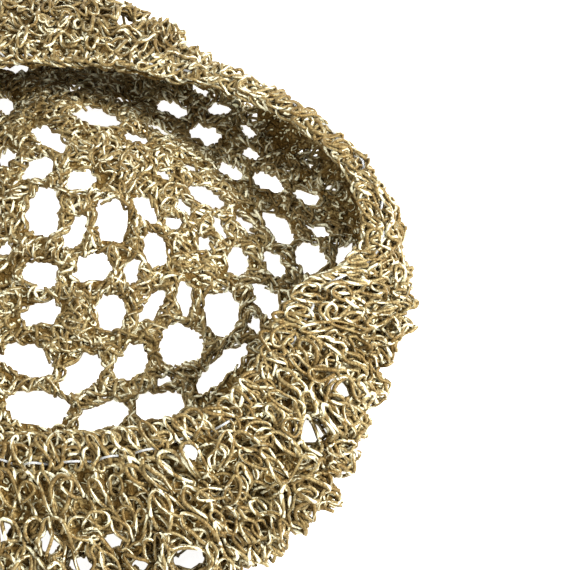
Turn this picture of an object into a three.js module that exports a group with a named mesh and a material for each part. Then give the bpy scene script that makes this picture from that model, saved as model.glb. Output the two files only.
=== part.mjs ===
// Crochet beret of metallic yarn, lying on its crown with the head opening up.
// Millimetres, +Z up. The surface it lies on is z = 0, and -Y is the side nearest the viewer.
// The origin is on that surface, under the middle of the hat's bounding box.
import * as THREE from "three";

// Driving sizes
const WALL = 3.6; // thickness of the crocheted cords
const CORD = 4.8; // width of a cord of the net
const JOINT_GAP = 0.3; // clearance between neighbouring pieces
const COLUMNS = 72; // mesh columns round the hat
const EDGE_HEIGHT = 9.5; // height of the widest place, at the middle of the wall
// The band's curve between fold and elastic: how much of its climb is upright,
// and how far in and up it is where it starts to level out.
const BAND_CURVE = { upright: 0.25, inward: 0.35, climb: 0.75 };
const SCALLOP_DEPTH = 1.3;
const SCALLOP_COUNT = 36;
const RIM_WIDTH = 6.5; // the one row of stitches inside the elastic
const RIM_RISE = 1.6;
const ELASTIC_RADIUS = 0.6;
const ELASTIC_SIDES = 5;
const EYELET_COUNT = 24;
const EYELET_WIDTH = 7;
const EYELET_HEIGHT = 5.5;

// The hat's outline by section, in degrees round from +X: the radius of its fold,
// and the radius and height of the elastic ring that gathers the head opening.
const SECTIONS = [
  { angle: -90, edge: 119, ring: 72, height: 33 },
  { angle: -62, edge: 120, ring: 79, height: 34 },
  { angle: -42, edge: 121, ring: 88, height: 34 },
  { angle: -20, edge: 118, ring: 88, height: 32 },
  { angle: -10, edge: 118, ring: 91.5, height: 31 },
  { angle: -1, edge: 122, ring: 108, height: 31 },
  { angle: 12, edge: 121, ring: 112, height: 33 },
  { angle: 34, edge: 112, ring: 98, height: 34 },
  { angle: 62, edge: 111, ring: 78, height: 33 },
  { angle: 90, edge: 119, ring: 73, height: 32 },
  { angle: 122, edge: 120, ring: 81, height: 34 },
  { angle: 152, edge: 121, ring: 99, height: 33 },
  { angle: 180, edge: 122, ring: 110, height: 32 },
  { angle: 210, edge: 120, ring: 99, height: 34 },
  { angle: 240, edge: 119, ring: 81, height: 34 },
];

// Radial gathers of the band: how far each sinks below it, and its half width in degrees.
const GATHERS = [
  { angle: -69, depth: 4.5, half_width: 6 },
  { angle: -50, depth: 4.0, half_width: 5 },
  { angle: -14, depth: 3.0, half_width: 6 },
  { angle: 24, depth: 2.0, half_width: 6 },
  { angle: 68, depth: 2.5, half_width: 7 },
  { angle: 112, depth: 2.5, half_width: 6 },
  { angle: 151, depth: 3.0, half_width: 6 },
  { angle: 205, depth: 3.0, half_width: 7 },
  { angle: 247, depth: 3.5, half_width: 6 },
];

// The long fold of the crown that stands up inside the hollow.
// It runs through a point along a heading, and falls to the floor over the near and far widths.
const RIDGE = { x: 21, y: 43, heading: -39, height: 24, near: 78, far: 40, half_length: 84 };
const RIDGE_FADE_START = 0.62; // share of the way to the fold where it starts to level out

// Where the crochet starts, off the hat's middle because the hat lies shifted.
const CROWN_MIDDLE = { x: 9, y: 22 };

// Rows of the net from the start round outwards. Reach is the share of the way to the fold.
const NET_START = 0.055;
const NET_ROWS = [
  { reach: 0.19, gaps: 6, first_column: 2, corners: 10 },
  { reach: 0.325, gaps: 12, first_column: 5, corners: 8 },
  { reach: 0.46, gaps: 18, first_column: 3, corners: 8 },
  { reach: 0.595, gaps: 24, first_column: 1, corners: 8 },
  { reach: 0.73, gaps: 24, first_column: 2, corners: 8 },
  { reach: 0.868, gaps: 24, first_column: 0, corners: 8 },
];
const NET_END = NET_ROWS[NET_ROWS.length - 1].reach;
const EYELET_ROW_START = 0.5; // shares of the way from the fold to the elastic
const EYELET_ROW_END = 0.7;

// How uneven the crochet is: its cords' least width and spread, and how far a gap sits off its row.
const UNEVEN = { seed: 7, least: 0.92, spread: 0.3, lean: 1.2 };
const GAP_SQUARENESS = 0.72; // 1 makes round gaps, less makes them squarer

const FLOOR = WALL / 2;
const RADIANS = Math.PI / 180;
const UP = new THREE.Vector3(0, 0, 1);

// An angle in degrees brought between -180 and 180.
function signedTurn(angle) {
  return THREE.MathUtils.euclideanModulo(angle + 180, 360) - 180;
}

// A table's value at any angle, smooth and closed round the hat.
function sectionValue(column, angle) {
  const count = SECTIONS.length;
  const first = SECTIONS[0].angle;
  const turned = THREE.MathUtils.euclideanModulo(angle - first, 360) + first;
  let at = count - 1;
  while (SECTIONS[at].angle > turned) at -= 1;
  const row = (k) => {
    const section = SECTIONS[(k + count) % count];
    return { angle: section.angle + 360 * Math.floor(k / count), value: section[column] };
  };
  const [before, from, to, after] = [row(at - 1), row(at), row(at + 1), row(at + 2)];
  const span = to.angle - from.angle;
  const t = (turned - from.angle) / span;
  const slopeFrom = (span * (to.value - before.value)) / (to.angle - before.angle);
  const slopeTo = (span * (after.value - from.value)) / (after.angle - from.angle);
  return (
    from.value * (2 * t ** 3 - 3 * t ** 2 + 1) +
    slopeFrom * (t ** 3 - 2 * t ** 2 + t) +
    to.value * (3 * t ** 2 - 2 * t ** 3) +
    slopeTo * (t ** 3 - t ** 2)
  );
}

// A point at an angle round the hat, a radius from its upright axis and a height.
function around(angle, radius, height) {
  return new THREE.Vector3(radius, 0, height).applyAxisAngle(UP, angle * RADIANS);
}

// Radius of the fold at one angle, with its scallops.
function edgeRadius(angle) {
  return sectionValue("edge", angle) + SCALLOP_DEPTH * Math.cos(SCALLOP_COUNT * angle * RADIANS);
}

// A point a share of the way from the crown's middle to the fold, seen from above.
function crownPlan(angle, share) {
  const edge = around(angle, edgeRadius(angle), 0);
  return new THREE.Vector3(CROWN_MIDDLE.x, CROWN_MIDDLE.y, 0).lerp(edge, share);
}

// Height of the crown's long fold above the floor.
function ridgeHeight(x, y) {
  const heading = RIDGE.heading * RADIANS;
  const dx = x - RIDGE.x;
  const dy = y - RIDGE.y;
  const along = dx * Math.cos(heading) + dy * Math.sin(heading);
  const across = dy * Math.cos(heading) - dx * Math.sin(heading);
  const bell = (q) => Math.cos((Math.min(1, Math.abs(q)) * Math.PI) / 2) ** 2;
  const reach = across > 0 ? RIDGE.far : RIDGE.near;
  return RIDGE.height * bell(along / RIDGE.half_length) * bell(across / reach);
}

// Middle of the wall on the crown: share 0 is the start round, share 1 the fold.
function crownSurface(angle, share) {
  const point = crownPlan(angle, share);
  const fade = 1 - THREE.MathUtils.smoothstep(share, RIDGE_FADE_START, NET_END);
  return point.setZ(FLOOR + fade * ridgeHeight(point.x, point.y));
}

// Middle of the wall from the net's end round the fold: share 0 lies on the floor, share 1 is the fold.
function turnSurface(angle, share) {
  const quarter = (share * Math.PI) / 2;
  const point = crownPlan(angle, NET_END + (1 - NET_END) * Math.sin(quarter));
  return point.setZ(FLOOR + (EDGE_HEIGHT - FLOOR) * (1 - Math.cos(quarter)));
}

// How far the gathers sink the band at an angle.
function gatherDepth(angle) {
  return GATHERS.reduce((sum, gather) => {
    const off = signedTurn(angle - gather.angle) / gather.half_width;
    return sum + gather.depth * Math.exp(-(off ** 2));
  }, 0);
}

// Middle of the wall on the band: share 0 is the fold, share 1 the elastic ring.
function bandSurface(angle, share) {
  const edge = edgeRadius(angle);
  const ring = sectionValue("ring", angle);
  const height = sectionValue("height", angle);
  const rise = height - EDGE_HEIGHT;
  const section = new THREE.CubicBezierCurve(
    new THREE.Vector2(edge, EDGE_HEIGHT),
    new THREE.Vector2(edge, EDGE_HEIGHT + BAND_CURVE.upright * rise),
    new THREE.Vector2(edge - BAND_CURVE.inward * (edge - ring), EDGE_HEIGHT + BAND_CURVE.climb * rise),
    new THREE.Vector2(ring, height),
  );
  const at = section.getPoint(share);
  const sunk = gatherDepth(angle) * Math.sin(Math.PI * share) ** 2;
  return around(angle, at.x, at.y - sunk);
}

// Middle of the wall on the lip: share 0 is the elastic ring, share 1 the lip's free side.
function rimSurface(angle, share) {
  const radius = sectionValue("ring", angle) - RIM_WIDTH * share;
  return around(angle, radius, sectionValue("height", angle) + RIM_RISE * share);
}

// The fold and the eyelet round are one surface: shares below 0 turn under it, above 0 climb the band.
function outerEdgeSurface(angle, share) {
  return share < 0 ? turnSurface(angle, 1 + share) : bandSurface(angle, share);
}

// The way across the wall, towards the hollow side, and the surface's speed along the share.
function wallDirection(surface, angle, share) {
  const [turn, step] = [0.5, 0.004];
  const round = surface(angle + turn, share).sub(surface(angle - turn, share));
  const along = surface(angle, share + step).sub(surface(angle, share - step));
  return { inwards: along.clone().cross(round).normalize(), speed: along.length() / (2 * step) };
}

// Shares of a surface at a small distance along it from a given share.
function shareShift(surface, angle, share, distance) {
  return distance / wallDirection(surface, angle, share).speed;
}

// A flat pattern of triangles over angle and share, which a surface bends and a wall thickens.
class Pattern {
  points = [];
  triangles = [];
  known = new Map();

  // A point shared by every cell that asks for the same name.
  // The wall across it faces as the surface does at the share called facing.
  point(name, angle, share, facing = share) {
    if (!this.known.has(name)) {
      this.known.set(name, this.points.length);
      this.points.push({ angle, share, facing });
    }
    return this.known.get(name);
  }

  // A plain patch between two rows of points, the first row on the lower share.
  join(low, high) {
    for (let i = 0; i + 1 < low.length; i += 1) {
      this.triangles.push([low[i], low[i + 1], high[i + 1]], [low[i], high[i + 1], high[i]]);
    }
  }

  // The ring of triangles between a cell's outline and its gap, both listed counterclockwise.
  frame(outline, gap, middle, half) {
    const bearing = (id) => {
      const { angle, share } = this.points[id];
      const across = signedTurn(angle - middle.angle) / half.angle;
      const bearing = Math.atan2((share - middle.share) / half.share, across);
      return THREE.MathUtils.euclideanModulo(bearing + 0.75 * Math.PI + 1e-6, 2 * Math.PI);
    };
    const sorted = (loop) => {
      const start = loop.reduce((best, id, i) => (bearing(id) < bearing(loop[best]) ? i : best), 0);
      return [...loop.slice(start), ...loop.slice(0, start)];
    };
    const [outer, inner] = [sorted(outline), sorted(gap)];
    let [i, j] = [0, 0];
    while (i < outer.length || j < inner.length) {
      const [a, nextA] = [outer[i % outer.length], outer[(i + 1) % outer.length]];
      const [b, nextB] = [inner[j % inner.length], inner[(j + 1) % inner.length]];
      const turnA = i + 1 < outer.length ? bearing(nextA) : 2 * Math.PI;
      const turnB = j + 1 < inner.length ? bearing(nextB) : 2 * Math.PI;
      if (j >= inner.length || (i < outer.length && turnA <= turnB)) {
        this.triangles.push([a, nextA, b]);
        i += 1;
      } else {
        this.triangles.push([a, nextB, b]);
        j += 1;
      }
    }
  }

  // A closed wall of the given thickness over the pattern bent by a surface.
  wall(surface, thickness) {
    const count = this.points.length;
    const positions = new Float32Array(count * 6);
    this.points.forEach(({ angle, share, facing }, i) => {
      const middle = surface(angle, share);
      const { inwards } = wallDirection(surface, angle, facing);
      middle.clone().addScaledVector(inwards, -thickness / 2).toArray(positions, i * 3);
      middle.clone().addScaledVector(inwards, thickness / 2).toArray(positions, (count + i) * 3);
    });
    const indices = [];
    const edges = new Set();
    this.triangles.forEach(([a, b, c]) => {
      indices.push(a, b, c, count + c, count + b, count + a);
      [[a, b], [b, c], [c, a]].forEach(([from, to]) => edges.add(`${from} ${to}`));
    });
    edges.forEach((edge) => {
      const [from, to] = edge.split(" ").map(Number);
      if (edges.has(`${to} ${from}`)) return;
      // One diagonal for both sides of a joint, whichever way round each is listed.
      if (from < to) indices.push(from, count + from, count + to, from, count + to, to);
      else indices.push(from, count + from, to, to, count + from, count + to);
    });
    const geometry = new THREE.BufferGeometry();
    geometry.setAttribute("position", new THREE.BufferAttribute(positions, 3));
    geometry.setIndex(indices);
    geometry.computeVertexNormals();
    return geometry;
  }
}

// A round of pattern points, one to a column and the first again at the end.
// Its share is moved along the surface by a distance, such as half a joint's gap,
// and its wall faces as at the joint itself, so that the two sides of a joint are parallel.
function roundOfPoints(pattern, surface, name, share, distance = 0, columns = COLUMNS) {
  return Array.from({ length: columns + 1 }, (_, i) => {
    const column = i % columns;
    const angle = (column * 360) / columns;
    const shift = distance ? shareShift(surface, angle, share, distance) : 0;
    return pattern.point(`${name} ${column}`, angle, share + shift, share);
  });
}

// A plain stretch of wall between two shares, in a number of rows.
function plainRows(pattern, surface, from, to, rows) {
  const rounds = Array.from({ length: rows + 1 }, (_, row) => {
    const end = row === 0 ? from : to;
    const share = THREE.MathUtils.lerp(from.share, to.share, row / rows);
    const distance = row === 0 || row === rows ? end.distance : 0;
    const name = row === 0 || row === rows ? end.name : `${from.name} row ${row}`;
    return roundOfPoints(pattern, surface, name, share, distance);
  });
  rounds.slice(1).forEach((round, row) => pattern.join(rounds[row], round));
}

// One round of gaps between a low and a high round of points.
// sizeOf gives each gap's half width and the shares where it starts and ends.
function gapRound(pattern, surface, low, high, layout, sizeOf) {
  const lowRound = roundOfPoints(pattern, surface, low.name, low.share, low.distance);
  const highRound = roundOfPoints(pattern, surface, high.name, high.share, high.distance);
  const wide = COLUMNS / layout.gaps;
  const pitch = 360 / COLUMNS;
  const middleShare = (low.share + high.share) / 2;
  for (let gap = 0; gap < layout.gaps; gap += 1) {
    const start = layout.first_column + gap * wide;
    const columns = Array.from({ length: wide + 1 }, (_, i) => (start + i) % COLUMNS);
    const outline = [
      ...columns.map((column) => lowRound[column]),
      ...columns.map((column) => highRound[column]).reverse(),
    ];
    const middle = { angle: (start + wide / 2) * pitch, share: middleShare };
    const half = { angle: (wide / 2) * pitch, share: (high.share - low.share) / 2 };
    const size = sizeOf(middle.angle);
    const corners = Array.from({ length: layout.corners }, (_, corner) => {
      const bearing = ((corner + 0.5) / layout.corners) * 2 * Math.PI;
      const across = squared(Math.cos(bearing));
      const up = squared(Math.sin(bearing));
      const share = THREE.MathUtils.lerp(size.from, size.to, (up + 1) / 2);
      const angle = middle.angle + across * size.halfAngle(share);
      return pattern.point(`${high.name} gap ${gap} ${corner}`, angle, share);
    });
    pattern.frame(outline, corners, middle, half);
  }
}

// A cosine or sine pushed outwards, which turns a circle into a rounded square.
function squared(value) {
  return Math.sign(value) * Math.abs(value) ** GAP_SQUARENESS;
}

// Millimetres to a degree round the hat at a share.
function roundSpeed(surface, angle, share) {
  return surface(angle + 0.5, share).distanceTo(surface(angle - 0.5, share));
}

// Gaps of the net: what the cords leave free, a little uneven as crochet is.
function netGapSize(low, high, layout) {
  return (angle) => {
    const random = THREE.MathUtils.seededRandom;
    const cord = CORD * (UNEVEN.least + UNEVEN.spread * random());
    const lean = UNEVEN.lean * (random() - 0.5);
    const lowCord = low.distance === undefined ? cord / 2 + lean : cord;
    const highCord = high.distance === undefined ? cord / 2 - lean : cord;
    const from = low.share + shareShift(crownSurface, angle, low.share, lowCord);
    const to = high.share - shareShift(crownSurface, angle, high.share, highCord);
    const halfAngle = (share) => 180 / layout.gaps - cord / 2 / roundSpeed(crownSurface, angle, share);
    return { from, to, halfAngle };
  };
}

// Eyelets are all of one size, in the middle of their round.
function eyeletSize(low, high) {
  return (angle) => {
    const middle = (low.share + high.share) / 2;
    const reach = shareShift(outerEdgeSurface, angle, middle, EYELET_HEIGHT / 2);
    const halfAngle = (share) => EYELET_WIDTH / 2 / roundSpeed(outerEdgeSurface, angle, share);
    return { from: middle - reach, to: middle + reach, halfAngle };
  };
}

// The start round: a small solid disc inside the net's first ring.
function crownCentre() {
  const pattern = new Pattern();
  const columns = COLUMNS / 2;
  const hub = pattern.point("hub", 0, NET_START / 10); // off the very middle, where angles meet
  const inner = roundOfPoints(pattern, crownSurface, "inner", NET_START / 2, 0, columns);
  const outer = roundOfPoints(pattern, crownSurface, "outer", NET_START, -JOINT_GAP, columns);
  for (let i = 0; i < columns; i += 1) pattern.triangles.push([hub, inner[i + 1], inner[i]]);
  pattern.join(inner, outer);
  return pattern.wall(crownSurface, WALL);
}

// Rows of gaps between rings and posts, from the start round to the fold.
function crownNet() {
  const pattern = new Pattern();
  let low = { name: "start", share: NET_START, distance: 0 };
  NET_ROWS.forEach((layout, row) => {
    const last = row === NET_ROWS.length - 1;
    const high = { name: `ring ${row}`, share: layout.reach, distance: last ? -JOINT_GAP : undefined };
    gapRound(pattern, crownSurface, low, high, layout, netGapSize(low, high, layout));
    low = high;
  });
  return pattern.wall(crownSurface, WALL);
}

// The fold, from the net's end round the widest place, and the round of eyelets above it.
function outerEdge() {
  const pattern = new Pattern();
  const start = { name: "start", share: -1, distance: 0 };
  const low = { name: "eyelets start", share: EYELET_ROW_START };
  const high = { name: "eyelets end", share: EYELET_ROW_END, distance: -JOINT_GAP / 2 };
  const fold = { name: "fold", share: 0, distance: 0 };
  plainRows(pattern, outerEdgeSurface, start, fold, 2);
  plainRows(pattern, outerEdgeSurface, fold, low, 3);
  const layout = { gaps: EYELET_COUNT, first_column: 1, corners: 8 };
  gapRound(pattern, outerEdgeSurface, low, high, layout, eyeletSize(low, high));
  return pattern.wall(outerEdgeSurface, WALL);
}

// The dense underside, from the eyelets to the elastic.
function band() {
  const pattern = new Pattern();
  const start = { name: "start", share: EYELET_ROW_END, distance: JOINT_GAP / 2 };
  const end = { name: "end", share: 1, distance: -(ELASTIC_RADIUS + JOINT_GAP) };
  plainRows(pattern, bandSurface, start, end, 3);
  return pattern.wall(bandSurface, WALL);
}

// The lip: one row of stitches inside the elastic.
function rim() {
  const pattern = new Pattern();
  const start = { name: "start", share: 0, distance: ELASTIC_RADIUS + JOINT_GAP };
  plainRows(pattern, rimSurface, start, { name: "lip", share: 1, distance: 0 }, 1);
  return pattern.wall(rimSurface, WALL);
}

// The elastic, a closed ring of thread in the seam between the band and the lip.
function elasticThread() {
  const positions = [];
  const indices = [];
  for (let column = 0; column < COLUMNS; column += 1) {
    const angle = (column * 360) / COLUMNS;
    const middle = bandSurface(angle, 1);
    const outwards = around(angle, 1, 0);
    for (let side = 0; side < ELASTIC_SIDES; side += 1) {
      const bearing = (side / ELASTIC_SIDES) * 2 * Math.PI;
      const point = middle.clone()
        .addScaledVector(outwards, ELASTIC_RADIUS * Math.cos(bearing))
        .addScaledVector(UP, ELASTIC_RADIUS * Math.sin(bearing));
      positions.push(...point.toArray());
      const [here, next] = [column, (column + 1) % COLUMNS].map((at) => at * ELASTIC_SIDES + side);
      const turn = (side + 1) % ELASTIC_SIDES - side;
      indices.push(here, next, next + turn, here, next + turn, here + turn);
    }
  }
  const geometry = new THREE.BufferGeometry();
  geometry.setAttribute("position", new THREE.Float32BufferAttribute(positions, 3));
  geometry.setIndex(indices);
  geometry.computeVertexNormals();
  return geometry;
}

const goldYarn = new THREE.MeshStandardMaterial({ color: 0x9c8858, roughness: 0.42, metalness: 0.75 });
const clearElastic = new THREE.MeshStandardMaterial({ color: 0xd9dfe2, roughness: 0.15, metalness: 0 });

function piece(name, geometry, material) {
  const mesh = new THREE.Mesh(geometry, material);
  mesh.name = name;
  return mesh;
}

THREE.MathUtils.seededRandom(UNEVEN.seed);
const beret = new THREE.Group();
beret.add(
  piece("crown_centre", crownCentre(), goldYarn),
  piece("crown_net", crownNet(), goldYarn),
  piece("outer_edge", outerEdge(), goldYarn),
  piece("band", band(), goldYarn),
  piece("elastic_thread", elasticThread(), clearElastic),
  piece("rim", rim(), goldYarn),
);

export default beret;
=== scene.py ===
"""Crochet beret of metallic gold yarn, lying on its crown with the head opening facing up.

The hat is dressed strand by strand. Every cord of the net and every row of the dense band is a
line of yarn that follows the hat's own surface, and a round section swept along it makes it solid.
Lengths are millimetres until a piece is made, then metres.
"""
import math

import bmesh
import bpy
import numpy as np
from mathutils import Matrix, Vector
from mathutils.geometry import delaunay_2d_cdt


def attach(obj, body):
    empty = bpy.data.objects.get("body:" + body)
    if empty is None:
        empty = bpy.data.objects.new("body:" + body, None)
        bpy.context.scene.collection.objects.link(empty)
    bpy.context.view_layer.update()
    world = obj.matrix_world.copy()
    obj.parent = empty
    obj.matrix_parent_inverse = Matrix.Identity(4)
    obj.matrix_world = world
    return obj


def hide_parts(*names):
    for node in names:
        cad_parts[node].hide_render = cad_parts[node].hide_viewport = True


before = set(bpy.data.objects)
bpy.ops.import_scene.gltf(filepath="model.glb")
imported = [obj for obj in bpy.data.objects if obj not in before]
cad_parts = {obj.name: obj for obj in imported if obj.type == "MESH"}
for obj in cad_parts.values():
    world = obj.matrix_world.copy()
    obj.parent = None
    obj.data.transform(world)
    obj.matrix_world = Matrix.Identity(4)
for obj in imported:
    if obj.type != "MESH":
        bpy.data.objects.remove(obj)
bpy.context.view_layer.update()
bpy.context.scene.view_settings.view_transform = "Standard"

METRES = 0.001
FULL_TURN = 2 * math.pi

YARN = 0.62  # radius of one strand
ELASTIC = 0.42  # radius of the clear thread
STEP = 1.15  # length of one straight bit of a stitch
LONGEST_BIT = 3.3  # a longer one has been pulled across an opening, and is cut
SIDES = 4  # corners of a strand's section

# The hat by section: degrees round from +X, radius of the fold's middle line, out of which
# the loops stand some millimetres, and radius and height of the elastic ring.
SECTIONS = np.array([
    (-90, 116, 72, 33),
    (-62, 115.5, 79, 34),
    (-44, 118, 87, 34),
    (-36, 116.5, 88.2, 33.6),
    (-20, 113.5, 88, 32),
    (-14, 113, 90, 31.5),
    (-8, 118, 93, 31),
    (-1, 118, 108, 31),
    (12, 116, 111, 33),
    (23, 109.5, 105.5, 33.6),
    (34, 106, 98, 34),
    (48, 102, 89, 33.5),
    (60, 102.5, 81, 33),
    (74, 114, 78, 32.5),
    (90, 120, 76, 32),
    (122, 116.5, 83, 34),
    (152, 117.5, 99, 33),
    (180, 118, 109, 32),
    (210, 116.5, 98, 34),
    (240, 115.5, 80, 34),
])
EDGE, RING, HEIGHT = 1, 2, 3
SCALLOPS = 36
SCALLOP_DEPTH = 1.3
LYING_HEIGHT = 1.8  # middle of the fabric where it lies on the surface
EDGE_HEIGHT = 9.5
NET_END = 0.868  # share of the way from the crown's middle to the fold
CROWN_MIDDLE = np.array([9.0, 22.0])

# The band's section bows inwards by a share of its width at two thirds of its way,
# and has risen by these shares at one and two thirds.
BAND_BOW = 0.35
BAND_RISES = (0.25, 0.75)

# The lip, which is narrower round the back, where it stands more than it lies.
RIM_WIDTH = 6.5
RIM_RISE = 1.6
RIM_BACK = 92
RIM_BACK_HALF = 75
RIM_NARROWING = 4

# Shares of the band's way that the turn under the fold and the lip are long, and a small step.
TURN_SHARE = 0.4
LIP_SHARE = 0.15
SHARE_STEP = 0.02

# The crown's long fold that stands up inside the hollow, with its near and its far half width.
RIDGE_MIDDLE = (21, 43)
RIDGE_HEADING = math.radians(-39)
RIDGE_HEIGHT = 24
RIDGE_HALF_LENGTH = 84
RIDGE_NEAR, RIDGE_FAR = 78, 40
RIDGE_FADES_FROM = 0.62  # share of the way to the fold

# Radial gathers of the band: degrees, depth, half width in degrees.
GATHERS = [
    (-69, 4.5, 6),
    (-50, 4.0, 5),
    (-14, 3.0, 6),
    (24, 2.0, 6),
    (68, 2.5, 7),
    (112, 2.5, 6),
    (151, 3.0, 6),
    (205, 3.0, 7),
    (247, 3.5, 6),
]

# Holes of the net: x, y, half length, half width and heading in degrees.
NET_HOLES = [
    (-20, 98, 6.4, 3.4, -25),
    (-19, 73, 6.2, 2.1, -62),
    (39, 78, 5.9, 2.6, -30),
    (15, 61, 8.4, 5.6, -37),
    (36, 63, 5.3, 2.4, -36),
    (67, 68, 5.8, 1.5, -41),
    (51, 66, 5.5, 3.9, -27),
    (0, 50, 9.6, 2.4, -46),
    (29, 51, 4.1, 3.1, -24),
    (68, 58, 3, 1.6, -32),
    (-15, 46, 2.6, 3, 25),
    (-2, 39, 5.9, 3.8, -3),
    (61, 49, 4.7, 3.3, -61),
    (12, 32, 4.5, 2.9, -6),
    (74, 46, 6.1, 3.1, -35),
    (95, 44, 4.2, 1.8, -37),
    (88, 40, 6.1, 2.7, -44),
    (53, 31, 5.8, 3.9, -20),
    (0, 23, 7.8, 5.2, -86),
    (34, 22, 5.1, 2.1, -52),
    (23, 19, 7.1, 4.8, -89),
    (77, 26, 8, 3.6, -57),
    (11, 15, 5.5, 2.5, 61),
    (66, 24, 4.9, 1.4, -50),
    (43, 19, 2.4, 2.2, 90),
    (58, 20, 4.4, 1.4, -67),
    (91, 26, 4.3, 1.4, -29),
    (37, 10, 4.9, 3.3, -86),
    (89, 14, 6.8, 4.8, -65),
    (53, 14, 2.3, 1.6, 89),
    (100, 16, 5, 2.4, 76),
    (-13, 13, 2.3, 1.7, -15),
    (64, 10, 4.5, 3, 84),
    (76, 11, 4.6, 2.9, -70),
    (17, 4, 5.8, 3.6, 12),
    (30, 3, 3.7, 2.1, 85),
    (-1, 3, 7.5, 3.6, -16),
    (47, -5, 5.6, 1.8, -85),
    (86, 1, 2.5, 1.9, 66),
    (74, -3, 6.6, 3.1, -60),
    (37, -7, 6, 2, 51),
    (59, -8, 7.9, 5.2, -79),
    (23, -10, 5.3, 4.2, -83),
    (0, -9, 5.7, 3, 8),
    (70, -11, 3.7, 1.4, -76),
    (46, -20, 6.7, 6.6, 8),
    (59, -27, 10.7, 2.9, 48),
    (-4, -24, 9.1, 4.4, -28),
    (30, -26, 6, 4, 52),
    (14, -30, 7.6, 4.3, 41),
    (40, -40, 8.3, 4.7, 7),
    (1, -41, 9.9, 5.4, -10),
    (22, -44, 8.2, 4, 23),
    (70, 75, 4.7, 1.1, -37),
    (89, 54, 2.6, 1.0, -36),
    (80, 52, 2.4, 0.9, -42),
    (81, -18, 2.2, 1.0, 83),
    (97, -34, 5.2, 3.2, -42),
    (88, -50, 5.2, 4.8, -21),
    (50, -56, 3.2, 2.0, -36),
    (-7, -82, 3.0, 2.2, 64),
    (8, -86, 3.2, 2.9, -21),
    (28, -86, 2.8, 2.4, 3),
    (51, -91, 5.6, 3.4, 37),
    (18, -93, 3.6, 2.1, -13),
    (37, -93, 2.8, 1.9, -11),
    (4, 81, 1.8, 1.2, -20),
    (21.5, 78, 3.2, 1.2, -20),
    (39, 35.5, 1.7, 1.3, 0),
    (47.5, 42, 2.8, 1.0, 0),
    (46, 25, 2.8, 1.1, -55),
    (86, 1.5, 2.2, 2.0, 60),
    (40.5, -32.5, 2.8, 1.6, 25),
]
# The net that the photograph shows lies beyond these, in x and in y. Elsewhere even rounds of
# holes fill it, at these shares of the way to the fold.
SHOWN_FROM = (-24, -60)
EVEN_ROUNDS = (0.07, 0.18, 0.30, 0.42, 0.54, 0.66, 0.78)
HOLES_PER_SHARE = 47
LEAST_ROUND = 5
FREE_OF_OTHERS = 8.6  # from the middle of a new hole to the border of the next one

# Strands that are pushed out of an opening start at most this far from its middle.
NEAR_HOLE = 22
NEAR_EYELET = 20
# The yarn's middle line is kept out of a hole by this share of its half sizes and a little more.
HOLE_SHARE = 0.88
HOLE_MORE = 0.1

# Eyelets of the band: degrees round, share of the way from fold to elastic, half width, half height.
EYELETS = [
    (-24.4, 0.5, 3.6, 5),
    (-34.1, 0.57, 4.6, 4.8),
    (-53, 0.94, 1.6, 2),
    (-61.8, 0.39, 5, 3.4),
    (-68.8, 0.51, 1.9, 1.7),
    (-71.8, 0.66, 2.2, 1.9),
    (-78, 0.55, 2.8, 1.9),
    (-82.5, 0.67, 2.8, 2.2),
    (-90.5, 0.74, 2.2, 2.2),
    (41.2, 0.93, 4.6, 5.5),
    (46, -0.155, 4.4, 3.0),
    (49, -0.02, 4.6, 4),
    (54, -0.265, 3.4, 2.4),
    (54.2, -0.085, 2.8, 2.6),
    (60.5, -0.22, 3.0, 2.4),
    (72, 0.65, 2.5, 3.6),
    (75.4, -0.14, 3.0, 3.0),
    (77.4, 0.52, 3.2, 5.0),
    (79.8, -0.11, 3.6, 3.8),
    (89.4, 0.49, 4.2, 7.0),
    (90.6, -0.05, 5, 5),
    (105, 0.6, 2.6, 2.2),
    (121, 0.55, 3.2, 2.4),
    (138, 0.62, 2.6, 2.2),
    (157, 0.58, 3, 2.4),
    (176, 0.6, 2.8, 2.2),
    (195, 0.56, 3.2, 2.4),
    (214, 0.62, 2.6, 2.2),
    (232, 0.57, 3.2, 2.4),
    (250, 0.62, 2.8, 2.2),
]

# Dark hollows of the band: degrees, share, depth, half size.
HOLLOWS = [
    (-68.5, 0.86, 3.2, 4.5),
    (-59, 0.85, 2.6, 3.5),
    (-41.3, 0.75, 2.8, 4.5),
    (-87.5, 0.78, 2.2, 4),
    (-49.8, 0.54, 2, 4.5),
    (-17.2, 0.3, 1.8, 4),
    (130, 0.75, 2.4, 4.5),
    (166, 0.8, 2.2, 4),
    (222, 0.78, 2.6, 4.5),
]


def smooth_table(column, angle):
    """A column of the sections at any angles, smooth and closed round the hat."""
    count = len(SECTIONS)
    first = SECTIONS[0, 0]
    turned = np.mod(angle - first, 360) + first
    at = np.searchsorted(SECTIONS[:, 0], turned, side="right") - 1
    (x0, y0), (x1, y1), (x2, y2), (x3, y3) = [
        (SECTIONS[k % count, 0] + 360 * (k // count), SECTIONS[k % count, column])
        for k in (at - 1, at, at + 1, at + 2)
    ]
    span = x2 - x1
    t = (turned - x1) / span
    slope1 = span * (y2 - y0) / (x2 - x0)
    slope2 = span * (y3 - y1) / (x3 - x1)
    return (
        y1 * (2 * t**3 - 3 * t**2 + 1)
        + slope1 * (t**3 - 2 * t**2 + t)
        + y2 * (3 * t**2 - 2 * t**3)
        + slope2 * (t**3 - t**2)
    )


def degrees_from(middle, angle):
    """Angles as degrees from a middle one, the short way round."""
    return np.mod(angle - middle + 180, 360) - 180


def around(angle, radius, height):
    """Points round the hat's own axis."""
    turn = np.radians(angle)
    height = np.broadcast_to(height, np.shape(turn))
    return np.stack([radius * np.cos(turn), radius * np.sin(turn), height], -1)


def rim_width(angle):
    return RIM_WIDTH - RIM_NARROWING * bell(degrees_from(RIM_BACK, angle) / RIM_BACK_HALF)


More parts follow.
